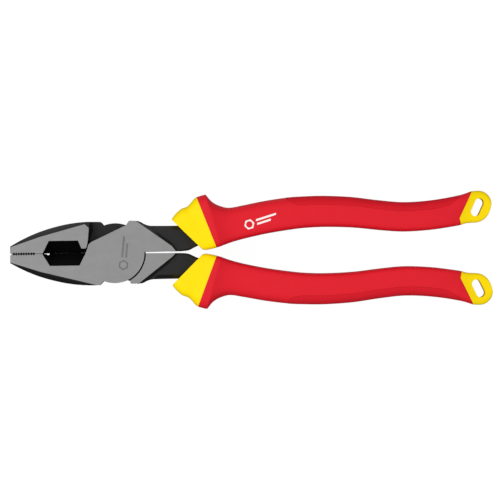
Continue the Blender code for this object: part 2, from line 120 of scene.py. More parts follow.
MACHINED_Y = -1.0  # the machined finish between the jaws lies above this
DARK_EDGE_Y = -0.9  # and its dark edges on the ground faces above this

# Flanks and shoulders
FLANK_WIDTH = 3.0
FLANK_DEPTH = 6.5
FLANK_STEPS = 10
FLANK_START = 25.0  # degrees
FLANK_END_X = -6.0
CORNER_EDGE = ((-15.05, -15.0), (-13.2, -13.2))
SHOULDER_DROP = 2.5
SHOULDER_RUNS = (1.6, 0.9)
SHOULDER_LIP = 0.3  # how far the slope's cutter starts inside the edge
SHOULDER_CUT = 8.0
# What differs between the halves: half width at the crown and at the tip, the jaws' parting line, the relief
# as (x, depth), the flanks' edges as (half width at the tip, rise), and the outlines of plate and shoulder.
FRONT = {
    "side": (16.4, 4.4),
    "seam": 0.25,
    "relief": ((-37.0, 0.12), (-35.4, 0.22), (-34.95, 0.75), (-34.2, 0.75)),
    "flanks": ((4.05, 0.325), (5.2, 0.25)),
    "plate": ((5.7, 14.1), (6.3, 14.5), (7.35, 16.3), (7.9, 16.55)),
    "shoulder": ((11.9, 16.4), (13.3, 15.85), (15.4, 14.5), (17.6, 13.95)),
    "shoulder_edge": ((11.75, 16.0), (29.55, 3.15), (31.25, 1.0)),
}
BACK = {
    "side": (16.3, 4.1),
    "seam": -0.25,
    "relief": ((-37.0, 0.01), (-34.0, 0.01)),
    "flanks": ((3.7, 0.335), (4.7, 0.27)),
    "plate": ((4.6, 13.6), (7.3, 14.5), (8.2, 15.7), (8.9, 15.85)),
    "shoulder": ((13.9, 15.75), (15.8, 14.75), (17.8, 14.05), (19.3, 13.8)),
    "shoulder_edge": ((12.15, 15.85), (29.75, 2.2), (31.35, 0.6)),
}

# Rivet
RIVET_RADIUS = 4.5
RIVET_HEAD_RADIUS = 6.0
RIVET_HEAD_RIM = 0.4
RIVET_HEAD_DEPTH = 1.5
RIVET_SEAM = 0.015
RIVET_STEPS = 96
RIVET_MARGIN = 0.5  # edges this close to the rivet's head stay sharp

# Handles
RING_POINTS = 72
SKIN_STEPS = 5  # rings from one station to the next
SHELL_STEPS = 4
SLEEVE_STEPS = 3
TANG_STEPS = 5
SHELL_WALL = 2.3
MOULD_GAP = 0.04
SKIN = -0.12  # the skin lies this far outside the stations
TANG_GAP = 0.05
COLLAR_EDGE = 0.35  # radii of the covers' end edges
SEAM_EDGE = 0.2
TAIL_EDGE = 0.5
EDGE_SHARES = (0.0, 0.07, 0.22, 0.5, 1.0)  # where an end edge has rings, as shares of its radius
OUTER_SQUARENESS = 0.95
INNER_SQUARENESS = 1.5
KINK = 0.2  # share of the handle's width where a kinked seam turns
TAIL_SLOT = ((185.75, 18.6), (187.9, 23.15), 2.35)  # centres of its two ends, and radius
TAIL_SLOT_MARGIN = 5.0
TAIL_SLOT_STEP = 7.5

# Soft inlay
INLAY_DEPTH = 1.3
INLAY_PROUD = 0.05
INLAY_RECESS_SLACK = 0.1
INLAY_CUT = 3.0  # how far the recess's cutter stands out of the skin
INLAY_REACH = 4.5
INLAY_NOSE = 9.0  # length of the rounded ends
INLAY_END_SHARE = 0.3  # how much of the reach is left at the very ends
INLAY_GROOVE = 0.09
INLAY_EDGE = 0.35
INLAY_SPAN = (9.0, 16.1)  # from and to these stations of the grip
INLAY_END_SPANS = (0.4, 0.3)  # stretches at each end with more rings
INLAY_END_STEPS = 8
INLAY_STEPS = 6
INLAY_CROWN = 24

# Stations of the handle's skin: outer edge x, y, inner edge x, y, thickness, squareness, kink of the seam.
COLLAR = (
    (29.4, 16.9, 43.95, 2.45, 20.0, 5.0, 0.0),
    (31.35, 19.4, 45.2, 1.3, 20.8, 5.0, 0.0),
    (34.4, 22.1, 46.8, 1.05, 21.8, 5.0, 0.0),
    (37.2, 23.15, 48.45, 1.3, 22.4, 5.0, 0.0),
    (39.15, 24.8, 49.85, 1.6, 23.2, 5.0, 0.0),
    (40.85, 26.9, 51.25, 1.9, 24.1, 5.0, 0.0),
    (42.55, 28.15, 52.45, 2.25, 24.8, 5.0, 0.0),
)
GRIP = (
    (42.55, 28.15, 52.45, 2.25, 24.8, 5.0, 0.0),
    (46.4, 29.25, 54.4, 2.8, 25.2, 4.8, 0.0),
    (47.4, 29.0, 55.0, 3.0, 25.0, 4.6, 0.0),
    (48.8, 27.2, 55.8, 3.35, 24.4, 4.3, 0.0),
    (50.9, 25.2, 56.9, 3.75, 23.5, 4.0, 0.0),
    (54.3, 23.45, 59.0, 4.5, 22.0, 3.7, 0.0),
    (59.0, 22.4, 62.0, 5.4, 20.7, 3.5, 0.0),
    (66.0, 23.5, 67.5, 6.8, 20.1, 3.4, 0.0),
    (77.0, 25.6, 78.0, 9.0, 20.1, 3.4, 0.0),
    (88.5, 27.15, 89.0, 10.7, 20.4, 3.4, 0.0),
    (97.0, 27.65, 98.0, 11.7, 20.5, 3.4, 0.0),
    (108.0, 27.8, 109.0, 12.05, 20.5, 3.4, 0.0),
    (122.0, 27.0, 123.0, 11.5, 20.0, 3.4, 0.0),
    (136.0, 25.15, 137.0, 9.95, 19.3, 3.4, 0.0),
    (149.0, 23.95, 149.0, 9.05, 18.7, 3.4, 0.0),
    (163.0, 24.7, 162.0, 9.65, 18.0, 3.4, 0.0),
    (176.8, 26.9, 173.0, 11.05, 16.4, 3.4, -1.0),
    (184.05, 29.1, 178.25, 11.95, 14.6, 3.6, -2.0),
)
TAIL = (
    (184.05, 29.1, 178.25, 11.95, 14.6, 3.6, -2.0),
    (186.2, 29.3, 181.2, 12.8, 12.6, 3.9, -1.2),
    (188.5, 29.25, 184.0, 13.05, 11.0, 4.2, -0.5),
    (190.4, 28.7, 186.6, 13.2, 10.0, 4.4, 0.0),
    (192.1, 27.6, 188.8, 13.8, 9.4, 4.4, 0.0),
    (193.4, 26.0, 190.8, 15.1, 9.0, 4.4, 0.0),
    (194.1, 24.2, 192.4, 17.0, 8.7, 4.4, 0.0),
    (194.3, 22.7, 193.6, 19.6, 8.2, 4.4, 0.0),
)
# Stations of the shank and tang: outer edge x, y, inner edge x, y, thickness, outer chamfer, inner chamfer.
TANG = (
    (11.5, 16.1, 17.5, 0.45, 11.4, 1.0, 0.6),
    (14.8, 14.9, 19.5, 0.5, 11.4, 1.6, 0.8),
    (17.6, 13.95, 21.5, 0.5, 11.4, 2.2, 0.8),
    (20.5, 13.75, 24.0, 0.5, 11.4, 2.3, 0.8),
    (31.0, 13.65, 36.2, 0.6, 11.2, 2.3, 0.8),
    (36.0, 13.8, 41.4, 2.6, 10.6, 2.0, 0.9),
    (47.0, 15.5, 50.0, 6.3, 9.6, 1.8, 1.2),
    (58.0, 18.1, 59.5, 9.1, 9.0, 1.8, 1.5),
    (80.0, 22.2, 80.5, 13.2, 8.8, 1.8, 1.8),
    (107.0, 24.2, 107.0, 15.6, 8.6, 1.8, 1.8),
    (135.0, 21.8, 135.0, 13.6, 8.2, 1.8, 1.8),
    (150.0, 20.4, 150.0, 12.7, 7.8, 1.8, 1.8),
    (162.0, 20.6, 162.0, 13.6, 7.2, 1.8, 1.8),
    (168.0, 20.6, 168.0, 15.2, 6.2, 1.6, 1.6),
)

# Marks
MARK_NUT = 2.7
MARK_NUT_SIDE_POINTS = 4
MARK_BORE_SHARE = 0.62
MARK_GAP = 1.0
MARK_STROKE = 1.0
MARK_BARS = ((14.5, 0.5), (11.0, -1.5))  # where each bar ends, and its lower edge
MARK_BAR_LEAN = 0.4
MARK_BAR_STEPS = 16
MARK_LIFT = 0.02
PRINT_PLACE = (69.4, 13.7)
PRINT_TILT = 17.0
ETCH_PLACE = (4.5, -6.2)
ETCH_TILT = 84.0

# Colours, linear
GROUND_GREY = (0.282, 0.282, 0.286)
MACHINED_GREY = (0.25, 0.25, 0.255)
OXIDE_BLACK = (0.010, 0.010, 0.0105)
# the pocket's black oxide, painted far darker still to stand in for the shade inside the pocket
PAINTED_SHADE_BLACK = (0.0006, 0.0006, 0.0006)
YELLOW = (1.0, 0.73, 0.0)
RED = (0.73, 0.006, 0.018)
SOFT_RED = (0.66, 0.006, 0.017)
PRINT_WHITE = (0.9, 0.88, 0.86)
ETCHED_GREY = (0.16, 0.16, 0.165)

# Light and camera, in metres. A sky's brightness is a middle value plus a lean towards a direction.
SKY_LEAN = (0.0, -0.12, 0.53)
SKY_MIDDLE = 0.455
MIRROR_LEAN = (0.0, 0.42, 0.34)
MIRROR_MIDDLE = 0.4
SKY_LOWEST = 0.03
SOFTBOX_PLACE = (-0.85, 0.15, 0.95)
SOFTBOX_SIZE = (0.9, 0.9)
SOFTBOX_ENERGY = 6.0
FLOOR_HALF = 3.0
FLOOR_DROP = 0.0002
FLOOR_GLOW = 0.97
FLOOR_SHADOW = 0.06
CAMERA_DISTANCE = 1.4
CAMERA_SHIFT = (-0.0008, 0.00058)
CAMERA_ROLL = -0.842  # degrees
CAMERA_FAR = 20.0
PICTURE_WIDTH = 0.2566
SENSOR_WIDTH = 36.0

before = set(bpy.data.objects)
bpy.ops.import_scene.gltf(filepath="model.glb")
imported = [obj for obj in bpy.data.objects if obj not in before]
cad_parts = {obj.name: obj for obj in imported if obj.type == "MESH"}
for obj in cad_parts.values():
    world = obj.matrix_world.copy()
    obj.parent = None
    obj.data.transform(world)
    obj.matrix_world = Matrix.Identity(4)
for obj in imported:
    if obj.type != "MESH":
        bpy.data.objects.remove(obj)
cad_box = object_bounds()


# ---------------------------------------------------------------- mesh tools


def link_mesh(name, mesh):
    obj = bpy.data.objects.new(name, mesh)
    bpy.context.scene.collection.objects.link(obj)
    return obj


def bake(obj):
    """Replaces the object's mesh by its evaluated one, without its modifiers."""
    bpy.context.view_layer.update()
    graph = bpy.context.evaluated_depsgraph_get()
    obj.data = bpy.data.meshes.new_from_object(obj.evaluated_get(graph))
    obj.modifiers.clear()
    return obj


def combine(obj, others, operation):
    for other in others:
        modifier = obj.modifiers.new(other.name, "BOOLEAN")
        modifier.operation = operation
        modifier.object = other
    bake(obj)
    for other in others:
        bpy.data.objects.remove(other)
    return obj


def loft(name, rings, closed=False):
    """A skin over rings of equally many points: capped at both ends, or closed on itself."""
    shape = bmesh.new()
    loops = [[shape.verts.new(Vector(point) * MM) for point in ring] for ring in rings]
    pairs = list(zip(loops, loops[1:]))
    if closed:
        pairs.append((loops[-1], loops[0]))
    for first, second in pairs:
        for i in range(len(first)):
            j = (i + 1) % len(first)
            shape.faces.new((first[i], first[j], second[j], second[i]))
    if not closed:
        shape.faces.new(loops[0])
        shape.faces.new(loops[-1])
    bmesh.ops.recalc_face_normals(shape, faces=shape.faces)
    mesh = bpy.data.meshes.new(name)
    shape.to_mesh(mesh)
    shape.free()
    return link_mesh(name, mesh)


def plate(name, outline, low, high, place=None):
    """A flat outline with a thickness from low to high along its own Z, placed by a matrix in millimetres."""
    place = place or Matrix.Identity(4)
    rings = [[place @ Vector((x, y, z)) for x, y in outline] for z in (low, high)]
    return loft(name, rings)


def shade(obj, angle):
    obj.data.shade_smooth()
    obj.data.set_sharp_from_angle(angle=math.radians(angle))
    return obj


def weigh_normals(obj):
    """Lets large flat faces set the normals at their edges, so that only the bevels turn."""
    modifier = obj.modifiers.new("normals", "WEIGHTED_NORMAL")
    modifier.weight = 100
    modifier.keep_sharp = True
    return bake(obj)


def on_ground_face(vertex):
    return min(abs(vertex.co.z), abs(vertex.co.z - HEAD_THICKNESS * MM)) < 1e-6


def bevel_ground_edges(obj, width, segments):
    """Breaks the sharp edges round the two ground faces, but not the rivet's seam."""
    shape = bmesh.new()
    shape.from_mesh(obj.data)
    seam_radius = (RIVET_HEAD_RADIUS + RIVET_MARGIN) * MM
    edges = []
    for edge in shape.edges:
        ground = all(on_ground_face(vertex) for vertex in edge.verts)
        seam = all(math.hypot(*vertex.co.xy) < seam_radius for vertex in edge.verts)
        if ground and not seam and edge.calc_face_angle(0.0) > math.radians(EDGE_ANGLE):
            edges.append(edge)
    bmesh.ops.bevel(
        shape, geom=edges, offset=width * MM, offset_type="OFFSET", segments=segments, profile=0.5,
        affect="EDGES", clamp_overlap=False, miter_outer="ARC",
    )
    bmesh.ops.dissolve_degenerate(shape, dist=0.002 * MM, edges=shape.edges)
    shape.to_mesh(obj.data)
    shape.free()


def bevel_edges(obj, width, segments, angle):
    modifier = obj.modifiers.new("edges", "BEVEL")
    modifier.width = width * MM
    modifier.segments = segments
    modifier.limit_method = "ANGLE"
    modifier.angle_limit = math.radians(angle)
    return bake(obj)


# ---------------------------------------------------------------- curves


def arc(centre, radius, start, end, step=2.0):
    """Points of an arc from start to end, in degrees."""
    steps = max(1, round(abs(end - start) / step))
    angles = [math.radians(start + (end - start) * i / steps) for i in range(steps + 1)]
    return [(centre[0] + radius * math.cos(a), centre[1] + radius * math.sin(a)) for a in angles]


def fillet(before, corner, after, radius, steps=4):
    """Points that round a corner off between its two neighbours."""
    corner = Vector(corner)
    one, two = Vector(before) - corner, Vector(after) - corner
    half = one.angle(two) / 2
    reach = min(radius / math.tan(half), one.length * 0.45, two.length * 0.45)
    radius = reach * math.tan(half)
    bisector = (one.normalized() + two.normalized()).normalized()
    centre = corner + bisector * (radius / math.sin(half))
    start = corner + one.normalized() * reach - centre
    turn = start.angle_signed(corner + two.normalized() * reach - centre)
    return [tuple(centre + Matrix.Rotation(-turn * i / steps, 2) @ start) for i in range(steps + 1)]


def rounded(points, radius):
    """An open run of points whose inner corners are rounded off."""
    result = [points[0]]
    for before, corner, after in zip(points, points[1:], points[2:]):
        result += fillet(before, corner, after, radius)
    return result + [points[-1]]


def along(table, place):
    """The row of a table of stations at a fractional place, on a smooth curve through all of its rows."""
    index = min(int(place), len(table) - 2)
    t = place - index
    before, start, end, after = (
        table[min(max(index + k, 0), len(table) - 1)] for k in (-1, 0, 1, 2)
    )
    return [
        0.5 * (2 * b + (c - a) * t + (2 * a - 5 * b + 4 * c - d) * t**2 + (3 * b - a - 3 * c + d) * t**3)
        for a, b, c, d in zip(before, start, end, after)
    ]


def places(first, last, steps):
    """Fractional places from station first to station last, with a number of steps to each station."""
    count = round((last - first) * steps)
    return [first + (last - first) * i / count for i in range(count + 1)]


# ---------------------------------------------------------------- forged halves


def jaw_side(half_width, tip_half_width):
    """The crowned side of the lower jaw, from its heel to the tip."""
    run, drop = CROWN_X - TIP_X, half_width - tip_half_width
    radius = (run**2 + drop**2) / (2 * drop)
    heel = -90 + math.degrees(math.asin((HEEL_X - CROWN_X) / radius))
    tip = -90 - math.degrees(math.asin(run / radius))
    return arc((CROWN_X, radius - half_width), radius, heel, tip, JAW_ARC_STEP)


def mating_face(shape, depth):
    """The lower jaw's mating edge from the tip to the end of the knife: teeth, flat, relief and knife."""
    seam = shape["seam"] - JAW_GAP
    points = [(TIP_X, -TIP_CHAMFER), (TEETH_START_X - TEETH_LEAD, seam)]
    for tooth in range(TEETH):
        x = TEETH_START_X + tooth * TOOTH_PITCH
        points += [(x, seam), (x + TOOTH_PITCH / 2, seam - TOOTH_DEPTH * depth)]
    points.append((TEETH_START_X + TEETH * TOOTH_PITCH, seam))
    start, end = RELIEF_X
    notch = [(start, seam), *((x, seam - deep) for x, deep in shape["relief"]), (end, seam)]
    return points + rounded(notch, RELIEF_ROUND) + [(KNIFE_END_X, seam)]


def head_outline(shape, depth):
    """The front half's head from the front: along the mating edge from the tip, and back round the disc."""
    knife_end = (KNIFE_END_X, shape["seam"] - JAW_GAP)
    disc_start = math.degrees(math.asin(SLOT_HALF_WIDTH / DISC_RADIUS))
    disc = arc((0, 0), DISC_RADIUS, disc_start, HEEL_ANGLE)
    side = jaw_side(*shape["side"])
    heel = rounded([disc[-1], *HEEL_STEP, side[0]], HEEL_ROUND)[1:-1]
    top = rounded([knife_end, *PLATE_FOOT, *shape["plate"], *shape["shoulder"], *SHANK_ROOT], PLATE_ROUND)[1:]
    return mating_face(shape, depth) + top + disc + heel + side


def lap_cutter():
    """What the front half leaves free behind its plate, for the back half's plate to swing in."""
    edge = HEAD_HALF_WIDTH + BEYOND
    tab = rounded([(TAB[0][0], edge), *TAB], TAB_ROUND)
    foot = [(edge, -edge), (edge, RECESS_FOOT_Y), (RECESS_RADIUS, RECESS_FOOT_Y)]
    recess = foot + arc((0, 0), RECESS_RADIUS, RECESS_START, STOP_ANGLE) + [(RECESS_TOP_X, edge)]
    rings = []
    for height, wall_xs in WALL_XS.items():
        wall = list(zip(wall_xs, WALL_YS))
        rings.append([(x, y, height) for x, y in tab + wall + recess])
    return loft("lap", rings)


def pocket_cutters(seam):
    """The two cutter pockets: a V down to the knife, kept to a plan outline that differs on each face."""
    across = Matrix(((0, 0, 1, 0), (1, 0, 0, 0), (0, 1, 0, 0), (0, 0, 0, 1)))
    cutters = []
    for name, (side, face_y, nose_x, end) in POCKETS.items():
        outline = [*POCKET_NOSE, (nose_x, POCKET_LOW_Y), *end]
        plan = plate(name + "_pocket", outline, *sorted((MID, MID + side * (MID + BEYOND))))
        knife = MID + side * KNIFE_LAND / 2
        wall = MID + side * (MID - POCKET_WALL_DEPTH)
        above = MID + side * (MID + 2 * BEYOND)
        floor_end = (face_y + POCKET_WALL_RUN, wall)
        slope = [(seam - JAW_GAP, knife), floor_end, (face_y, MID + side * MID), (face_y, above)]
        vee = [(BEYOND + 1, knife), *rounded(slope, POCKET_ROUND), (BEYOND + 1, above)]
        cutters.append(combine(plan, [plate(name + "_vee", vee, *POCKET_REACH, across)], "INTERSECT"))
    return cutters


def slope_cutters(name, start, end, outward, profile, faces=BOTH_FACES):
    """Prisms along a line that cut a slope on the faces. The profile is (outward, below the face)."""
    middle = (Vector(start) + Vector(end)) / 2
    line = (Vector(end) - Vector(start)).normalized()
    across = Vector((line.y, -line.x))
    if across.dot(Vector(outward)) <= 0:
        across.negate()
    half_length = (Vector(end) - Vector(start)).length / 2
    cutters = []
    for face, side in faces:
        x_axis, y_axis = Vector((*across, 0)), Vector((0, 0, side))
        place = Matrix((x_axis, y_axis, x_axis.cross(y_axis))).transposed().to_4x4()
        place.translation = (*middle, face)
        outline = [(out, -below) for out, below in profile]
        cutters.append(plate(f"{name}_{len(cutters)}", outline, -half_length, half_length, place))
    return cutters


def flank_profile():
    """From the ground face down to the jaw's side: steep at once, then rounding over, closed outside."""
    first = math.radians(FLANK_START)
    turns = [first + (math.pi / 2 - first) * i / FLANK_STEPS for i in range(FLANK_STEPS + 1)]
    curve = [
        (
            FLANK_WIDTH * (math.sin(a) - math.sin(first)) / (1 - math.sin(first)),
            FLANK_DEPTH * (1 - math.cos(a) / math.cos(first)),
        )
        for a in turns
    ]
    above = (-curve[1][0], -curve[1][1])
    beyond = [(3 * FLANK_WIDTH, FLANK_DEPTH), (3 * FLANK_WIDTH, -BEYOND), (-curve[1][0], -BEYOND)]
    return [above] + curve[1:] + beyond


def flank_cutters(edges):
    """Round the jaw's side over from its edges on each face, and the tab's corner away from the plate."""
    cutters = []
    for tip_y, rise in edges:
        start, end = ((x, -tip_y - rise * (x - TIP_X)) for x in (TIP_X - BEYOND, FLANK_END_X))
        cutters += slope_cutters("flank", start, end, (0, -1), flank_profile())
    return cutters + slope_cutters("corner", *CORNER_EDGE, (1, -1), flank_profile(), BOTH_FACES[1:])


def shoulder_cutters(edge):
    cutters = []
    for start, end, run in zip(edge, edge[1:], SHOULDER_RUNS):
        lip = (-SHOULDER_LIP, -SHOULDER_LIP * SHOULDER_DROP / run)
        profile = [lip, (run, SHOULDER_DROP), (SHOULDER_CUT, SHOULDER_DROP), (SHOULDER_CUT, -1)]
        past = (Vector(end) - Vector(start)).normalized() * BEYOND
        cutters += slope_cutters("shoulder", Vector(start) - past, Vector(end) + past, (1, 1), profile)
    return cutters


def rivet_profile(grow, overrun):
    """The rivet's half section from the axis at the top to the axis at the bottom."""
    head, body = RIVET_HEAD_RADIUS + grow, RIVET_RADIUS + grow
    top, rim = HEAD_THICKNESS + overrun, HEAD_THICKNESS - RIVET_HEAD_RIM
    half = [(0.0, top), (head, top), (head, rim), (body, rim - RIVET_HEAD_DEPTH)]
    return half + [(r, HEAD_THICKNESS - z) for r, z in reversed(half)]


def turned(name, profile, steps):
    """A profile in (radius, height) turned about the pivot axis."""
    mesh = bpy.data.meshes.new(name)
    points = [(r * MM, 0.0, z * MM) for r, z in profile]
    mesh.from_pydata(points, [(i, i + 1) for i in range(len(points) - 1)], [])
    obj = link_mesh(name, mesh)
    screw = obj.modifiers.new("turn", "SCREW")
    screw.steps = screw.render_steps = steps
    screw.use_merge_vertices = True
    screw.merge_threshold = 1e-6
    bake(obj)
    shape = bmesh.new()
    shape.from_mesh(obj.data)
    bmesh.ops.remove_doubles(shape, verts=shape.verts, dist=1e-7)
    bmesh.ops.recalc_face_normals(shape, faces=shape.faces)
    shape.to_mesh(obj.data)
    shape.free()
    return obj


def tang_ring(row, grow):
    """An eight-sided section of the tang between its two edges, with all sides moved out by grow."""
    outer, inner = Vector(row[0:2]), Vector(row[2:4])
    across = (outer - inner).normalized()
    half = (outer - inner).length / 2 + grow
    thick = row[4] / 2 + grow
    centre = (outer + inner) / 2
    big, small = row[5], row[6]
    corners = [
        (half, thick - big), (half - big, thick), (small - half, thick), (-half, thick - small),
        (-half, small - thick), (small - half, -thick), (half - big, -thick), (half, big - thick),
    ]
    return [(*(centre + across * a), MID + z) for a, z in corners]


def tang(name, grow=0.0):
    """The shank and tang, as a solid that joins the head or, grown, as the cavity it fills."""
    rings = [tang_ring(along(TANG, place), grow) for place in places(0, len(TANG) - 1, TANG_STEPS)]
    if grow:
        end = Vector((2 * grow, 0, 0))
        rings[-1] = [Vector(point) + end for point in rings[-1]]
    return loft(name, rings)


def split_floor(obj):
    """Parts the lapped floor beside the knife from the rest, so that it can take the pocket's painted shade.
    """
    shape = bmesh.new()
    shape.from_mesh(obj.data)
    height = (MID + LAP_GAP / 2) * MM
    corners = [vertex for vertex in shape.verts if abs(vertex.co.z - height) < 1e-6]
    level = set(corners)
    edges = [edge for edge in shape.edges if level.issuperset(edge.verts)]
    floor = [face for face in shape.faces if level.issuperset(face.verts)]
    split_at = (PAINTED_SHADE_X[1] * MM, 0, 0)
    bmesh.ops.bisect_plane(shape, geom=floor + edges + corners, plane_co=split_at, plane_no=(1, 0, 0))
    shape.to_mesh(obj.data)
    shape.free()


def forged_half(name, shape):
    """One half of the pliers: jaw, knife, lapped plate with its rivet hole, shoulder, shank and tang."""
    head = loft(name, [[(x, y, z) for x, y in head_outline(shape, depth)] for z, depth in TEETH_LEVELS])
    combine(head, [lap_cutter()], "DIFFERENCE")
    slopes = flank_cutters(shape["flanks"]) + shoulder_cutters(shape["shoulder_edge"])
    combine(head, pocket_cutters(shape["seam"]) + slopes, "DIFFERENCE")
    combine(head, [tang("shank")], "UNION")
    hole = turned("rivet_hole", rivet_profile(RIVET_SEAM, 1.0), RIVET_STEPS)
    combine(head, [hole], "DIFFERENCE")
    split_floor(head)
    bevel_ground_edges(head, width=EDGE_BEVEL, segments=2)
    return weigh_normals(shade(head, SMOOTH_ANGLE))


# ---------------------------------------------------------------- handle covers


def skin_point(row, angle, inset):
    """A point of the handle's skin: angle 0 is the outer edge, 90 degrees the front face."""
    outer, inner = Vector(row[0:2]), Vector(row[2:4])
    across = (outer - inner).normalized()
    half = (outer - inner).length / 2 - inset
    power = 2 / (row[5] * (OUTER_SQUARENESS if math.cos(angle) > 0 else INNER_SQUARENESS))
    share = math.copysign(abs(math.cos(angle)) ** power, math.cos(angle))
    height = math.copysign(abs(math.sin(angle)) ** power, math.sin(angle))
    point = (outer + inner) / 2 + across * (half * share)
    width = (share + 1) / 2
    kink = row[6] * (width / KINK if width < KINK else (1 - width) / (1 - KINK))
    return Vector((point.x + kink, point.y, MID + height * (row[4] / 2 - inset)))


def skin_ring(row, inset):
    angles = [2 * math.pi * i / RING_POINTS for i in range(RING_POINTS)]
    return [skin_point(row, angle, inset) for angle in angles]


def edge_inset(distance, radius):
    """How far a skin draws in at a distance from its end, to round that end's edge over."""
    if distance >= radius:
        return 0.0
    return radius - math.sqrt(radius**2 - (radius - distance) ** 2)


def skin_rings(table, steps, inset, start_round, end_round):
    """Rings along a table, each end with an edge radius. Lengths are taken along the outer edge."""
    last = len(table) - 1
    first_length = (Vector(table[1][0:2]) - Vector(table[0][0:2])).length
    last_length = (Vector(table[last][0:2]) - Vector(table[last - 1][0:2])).length
    stops = set(places(0, last, steps))
    for share in EDGE_SHARES:
        stops.add(start_round * share / first_length)
        stops.add(last - end_round * share / last_length)
    rings = []
    for place in sorted(stops):
        drawn = edge_inset(place * first_length, start_round) if start_round else 0.0
        drawn += edge_inset((last - place) * last_length, end_round) if end_round else 0.0
        rings.append(skin_ring(along(table, place), inset + drawn))
    return rings


def tail_hole():
    """The stadium-shaped tether hole through the tail."""
    low, high, radius = TAIL_SLOT
    lean = math.degrees(math.atan2(high[1] - low[1], high[0] - low[0]))
    upper_end = arc(high, radius, lean - 90, lean + 90, TAIL_SLOT_STEP)
    lower_end = arc(low, radius, lean + 90, lean + 270, TAIL_SLOT_STEP)
    return plate("tether_hole", upper_end + lower_end, -TAIL_SLOT_MARGIN, HEAD_THICKNESS + TAIL_SLOT_MARGIN)


def liner(name):
    """Yellow insulation: guard collar, sleeve under the shell and tail with its tether hole, one moulding."""
    collar = skin_rings(COLLAR, SKIN_STEPS, SKIN, COLLAR_EDGE, SEAM_EDGE)
    stations = places(0, len(GRIP) - 1, SLEEVE_STEPS)
    sleeve = [skin_ring(along(GRIP, place), SHELL_WALL + MOULD_GAP) for place in stations]
    tail = skin_rings(TAIL, SKIN_STEPS, SKIN, SEAM_EDGE, TAIL_EDGE)
    body = loft(name, collar + sleeve + tail)
    combine(body, [tang("tang_cavity", TANG_GAP), tail_hole()], "DIFFERENCE")
    return shade(body, SMOOTH_ANGLE)


def inlay_reach(distance_in, reach):
    """How far the inlay reaches round the handle near its rounded ends."""
    if distance_in >= INLAY_NOSE:
        return reach
    share = 1 - distance_in / INLAY_NOSE
    return reach * max(INLAY_END_SHARE, math.sqrt(1 - share**2))


def inlay_stops():
    """The inlay's fractional places along the grip, closer together towards its ends."""
    first, last = INLAY_SPAN
    stops = set(places(first, last, INLAY_STEPS))
    for k in range(INLAY_END_STEPS + 1):
        stops.add(first + INLAY_END_SPANS[0] * k / INLAY_END_STEPS)
        stops.add(last - INLAY_END_SPANS[1] * k / INLAY_END_STEPS)
    return sorted(stops)


def inlay_solid(name, grow, depth, proud):
    """The soft band round the handle's outer edge, or the recess it sits in. Grow widens it all round."""
    first, last = INLAY_SPAN
    start, end = along(GRIP, first), along(GRIP, last)
    length = end[0] - start[0]
    rings = []
    for place in inlay_stops():
        row = along(GRIP, place)
        distance = min(row[0] - start[0], end[0] - row[0])
        reach = inlay_reach(distance, INLAY_REACH) + grow
        if place in (first, last):
            place += (grow if place == last else -grow) / (length / (last - first))
            row = along(GRIP, place)
        half = (Vector(row[0:2]) - Vector(row[2:4])).length / 2
        limit = math.acos((1 - reach / half) ** (row[5] * OUTER_SQUARENESS / 2))
        sweep = [limit * (2 * i / INLAY_CROWN - 1) for i in range(INLAY_CROWN + 1)]
        outside = [skin_point(row, angle, SKIN - proud) for angle in sweep]
        inside = [skin_point(row, angle, depth) for angle in reversed(sweep)]
        rings.append(outside + inside)
    return loft(name, rings)


def shell(name):
    """Red shell moulded over the liner, with a recess along its palm side for the soft inlay."""
    outside = skin_rings(GRIP, SHELL_STEPS, SKIN, SEAM_EDGE, SEAM_EDGE)
    inside = [skin_ring(along(GRIP, place), SHELL_WALL) for place in places(0, len(GRIP) - 1, SHELL_STEPS)]
    body = loft(name, outside + inside[::-1], closed=True)
    recess = inlay_solid("inlay_recess", INLAY_GROOVE, INLAY_DEPTH + INLAY_RECESS_SLACK, INLAY_CUT)
    combine(body, [recess], "DIFFERENCE")
    return shade(body, SMOOTH_ANGLE)


def inlay(name):
    body = inlay_solid(name, 0.0, INLAY_DEPTH, INLAY_PROUD)
    bevel_edges(body, width=INLAY_EDGE, segments=3, angle=40)
    return shade(body, SMOOTH_ANGLE)


# ---------------------------------------------------------------- marks


def hexagon(radius, points_per_side):
    corners = circle(radius, 6)
    pairs = zip(corners, corners[1:] + corners[:1])
    return [one.lerp(two, i / points_per_side) for one, two in pairs for i in range(points_per_side)]


def circle(radius, points):
    turns = (2 * math.pi * i / points for i in range(points))
    return [Vector((radius * math.cos(a), radius * math.sin(a))) for a in turns]


def bar(x_start, x_end, y, height):
    """The two long edges of a bar with slanted ends."""
    shares = [i / MARK_BAR_STEPS for i in range(MARK_BAR_STEPS + 1)]
    low = [Vector((x_start + (x_end - x_start) * share, y)) for share in shares]
    return low, [point + Vector((MARK_BAR_LEAN, height)) for point in low]


def mark_bands():
    """A plain sign that stands for no maker: a nut and two bars. Each band is (edge, other edge, closed)."""
    sides = hexagon(MARK_NUT, MARK_NUT_SIDE_POINTS)
    nut = (sides, circle(MARK_NUT * MARK_BORE_SHARE, len(sides)), True)
    bars = [bar(MARK_NUT + MARK_GAP, end, y, MARK_STROKE) for end, y in MARK_BARS]
    return [nut] + [(*edges, False) for edges in bars]


def flat_place(point, tilt):
    """The placement of a mark at a point of the plan, turned by a tilt in degrees."""
    return Matrix.Translation((*point, 0)) @ Matrix.Rotation(math.radians(tilt), 4, "Z")


